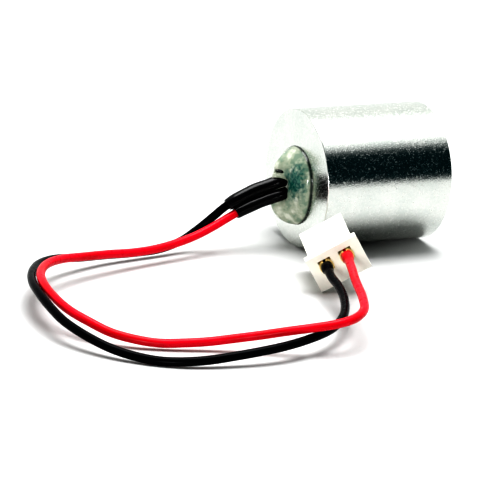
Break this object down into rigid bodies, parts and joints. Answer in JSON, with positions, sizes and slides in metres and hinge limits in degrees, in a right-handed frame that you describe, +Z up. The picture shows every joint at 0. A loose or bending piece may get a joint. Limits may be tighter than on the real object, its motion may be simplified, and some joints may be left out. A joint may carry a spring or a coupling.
{
  "type": "vibration motor",
  "caption": "Sealed cylindrical metal vibration motor: an eccentric weight on a small brushed motor inside a can, with leads sealed in resin and a small crimp connector.",
  "frame": {"origin": "on the surface that the can lies on, below the middle of the can and its resin dome, leads and connector left out", "axes": "+X along the can's axis from the wire end to the closed end, +Z up, leads and connector on the -X and -Y side"},
  "size_m": [0.0552, 0.0452, 0.016],
  "materials": {
    "can_metal": "bright satin plated, fine grained",
    "collar_rubber": "matt",
    "potting_resin": "glossy translucent resin",
    "motor_steel": "plated",
    "white_nylon": "moulded",
    "bronze": "sintered, oiled",
    "ferrite": "ground ferrite",
    "brass": "stamped",
    "solder": "bright solder",
    "copper": "bright copper",
    "shaft_steel": "ground",
    "core_steel": "laminated, oxidised",
    "hub_resin": "moulded phenolic",
    "washer_fibre": "punched",
    "weight_metal": "sintered heavy alloy",
    "red_insulation": "soft glossy vinyl",
    "black_insulation": "soft glossy vinyl",
    "black_sleeve": "glossy shrunk tubing",
    "ivory_nylon": "moulded nylon",
    "crimp_brass": "bright stamped"
  },
  "bodies": {
    "casing": {"can_shell": "can_metal", "rear_cover": "can_metal", "motor_collar": "collar_rubber", "potting_dome": "potting_resin", "motor_can": "motor_steel", "brush_cap": "white_nylon", "rear_bearing": "bronze", "front_bearing": "bronze", "magnet_upper": "ferrite", "magnet_lower": "ferrite", "terminal_black": "brass", "terminal_red": "brass", "solder_black": "solder", "solder_red": "solder", "brush_black": "copper", "brush_red": "copper", "thrust_washer_rear": "washer_fibre", "thrust_washer_front": "washer_fibre", "red_lead": "red_insulation", "black_lead": "black_insulation", "sleeve_red": "black_sleeve", "sleeve_black": "black_sleeve", "connector_housing": "ivory_nylon", "crimp_red": "crimp_brass", "crimp_black": "crimp_brass"},
    "rotor": {"shaft": "shaft_steel", "rotor_core": "core_steel", "coil_a": "copper", "coil_b": "copper", "coil_c": "copper", "commutator_bar_a": "copper", "commutator_bar_b": "copper", "commutator_bar_c": "copper", "commutator_hub": "hub_resin", "eccentric_weight": "weight_metal"}
  },
  "joints": [
    {"name": "rotor_spin", "type": "hinge", "parent": "casing", "child": "rotor", "pos_m": [0, 0, 0.008], "axis": [1, 0, 0], "continuous": true}
  ]
}
